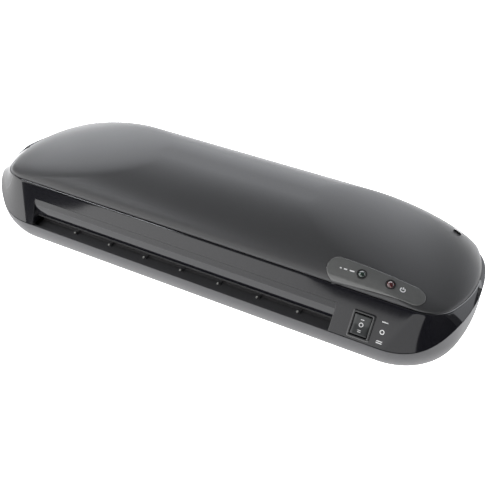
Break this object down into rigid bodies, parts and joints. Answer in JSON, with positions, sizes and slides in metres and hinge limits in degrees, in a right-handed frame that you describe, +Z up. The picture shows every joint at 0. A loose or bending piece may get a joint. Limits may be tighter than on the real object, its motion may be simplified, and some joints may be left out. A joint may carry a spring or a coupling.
{
  "type": "pouch laminator",
  "caption": "Low oblong desktop pouch laminator with a domed cover, glossy front band, wide entry slot, rocker switch, pilot lamps and heated rollers inside.",
  "frame": {"origin": "on the table under the middle of the enclosure, at the underside of the feet", "axes": "+X along the length to the right as seen from the front, -Y to the front where the pouch goes in, +Z up"},
  "size_m": [0.3686, 0.1277, 0.062],
  "materials": {
    "base_plastic": "satin textured",
    "bezel_gloss": "high gloss",
    "cover_satin": "satin",
    "tray_plastic": "matte",
    "frame_steel": "zinc plated sheet",
    "shaft_steel": "ground",
    "roller_silicone": "smooth silicone",
    "bearing_plastic": "matte",
    "spring_steel": "wire",
    "gear_plastic": "matte",
    "pinion_brass": "machined",
    "motor_can": "drawn can",
    "screw_steel": "zinc plated",
    "heater_aluminium": "anodised",
    "insulator_plastic": "matte",
    "heating_foil": "silicone skin",
    "shield_aluminium": "mill finish",
    "fuse_can": "drawn",
    "switch_plastic": "semi gloss",
    "rocker_plastic": "fine texture",
    "window_gloss": "high gloss",
    "green_lens": "lens",
    "red_lens": "lens",
    "board_laminate": "laminate",
    "terminal_plastic": "matte",
    "capacitor_sleeve": "sleeve",
    "gland_rubber": "matte",
    "foot_rubber": "matte"
  },
  "bodies": {
    "chassis": {"base_housing": "base_plastic", "front_bezel": "bezel_gloss", "top_cover": "cover_satin", "entry_tray": "tray_plastic", "exit_guide": "tray_plastic", "left_frame": "frame_steel", "right_frame": "frame_steel", "lower_bushes": "bearing_plastic", "idler_pin": "shaft_steel", "idler_clip": "spring_steel", "motor_bracket": "frame_steel", "drive_motor": "motor_can", "motor_standoffs": "shaft_steel", "motor_screws": "screw_steel", "lower_heater_plate": "heater_aluminium", "upper_heater_plate": "heater_aluminium", "plate_insulators": "insulator_plastic", "lower_heating_strip": "heating_foil", "upper_heating_strip": "heating_foil", "heat_shield": "shield_aluminium", "thermostat": "insulator_plastic", "thermal_fuse": "fuse_can", "switch_body": "switch_plastic", "switch_terminals": "pinion_brass", "indicator_window": "window_gloss", "green_lamp": "green_lens", "red_lamp": "red_lens", "indicator_board": "board_laminate", "circuit_board": "board_laminate", "terminal_block": "terminal_plastic", "capacitor": "capacitor_sleeve", "drop_resistor": "insulator_plastic", "board_screws": "screw_steel", "cord_gland": "gland_rubber", "rubber_feet": "foot_rubber", "cover_screws": "screw_steel", "frame_screws": "screw_steel"},
    "switch_rocker": {"switch_rocker": "rocker_plastic"},
    "release_slider": {"release_knob": "cover_satin", "release_bar": "switch_plastic"},
    "pressure_carriage": {"bearing_blocks": "bearing_plastic", "pressure_springs": "spring_steel"},
    "upper_roller": {"upper_roller_shaft": "shaft_steel", "upper_roller_sleeve": "roller_silicone", "upper_roller_gear": "gear_plastic"},
    "lower_roller": {"lower_roller_shaft": "shaft_steel", "lower_roller_sleeve": "roller_silicone", "lower_roller_gear": "gear_plastic"},
    "idler": {"idler_gear": "gear_plastic"},
    "motor_rotor": {"motor_shaft": "shaft_steel", "motor_pinion": "pinion_brass"}
  },
  "joints": [
    {"name": "rocker_tilt", "type": "hinge", "parent": "chassis", "child": "switch_rocker", "pos_m": [0.1228, -0.05587, 0.02738], "axis": [1, 0, 0], "range_deg": [-10, 10]},
    {"name": "pressure_lift", "type": "slide", "parent": "chassis", "child": "pressure_carriage", "axis": [0, 0, 1], "range_m": [0, 0.0008], "deforming": ["pressure_springs"]},
    {"name": "release_slide", "type": "slide", "parent": "chassis", "child": "release_slider", "axis": [0.9438, -0.1334, -0.3024], "range_m": [-0.006, 0]},
    {"name": "lower_roller_spin", "type": "hinge", "parent": "chassis", "child": "lower_roller", "pos_m": [-0.014, 0.006, 0.014], "axis": [1, 0, 0], "continuous": true},
    {"name": "upper_roller_spin", "type": "hinge", "parent": "pressure_carriage", "child": "upper_roller", "pos_m": [-0.014, 0.006, 0.03], "axis": [1, 0, 0], "continuous": true},
    {"name": "idler_spin", "type": "hinge", "parent": "chassis", "child": "idler", "pos_m": [0.115, 0.022, 0.014], "axis": [1, 0, 0], "continuous": true},
    {"name": "motor_spin", "type": "hinge", "parent": "chassis", "child": "motor_rotor", "pos_m": [0.118, 0.022, 0.027], "axis": [1, 0, 0], "continuous": true}
  ],
  "couplings": [
    {"joint": "release_slide", "follows": "pressure_lift", "ratio": -7.5},
    {"joint": "upper_roller_spin", "follows": "lower_roller_spin", "ratio": -1},
    {"joint": "idler_spin", "follows": "lower_roller_spin", "ratio": -1},
    {"joint": "motor_spin", "follows": "lower_roller_spin", "ratio": 1.6}
  ]
}
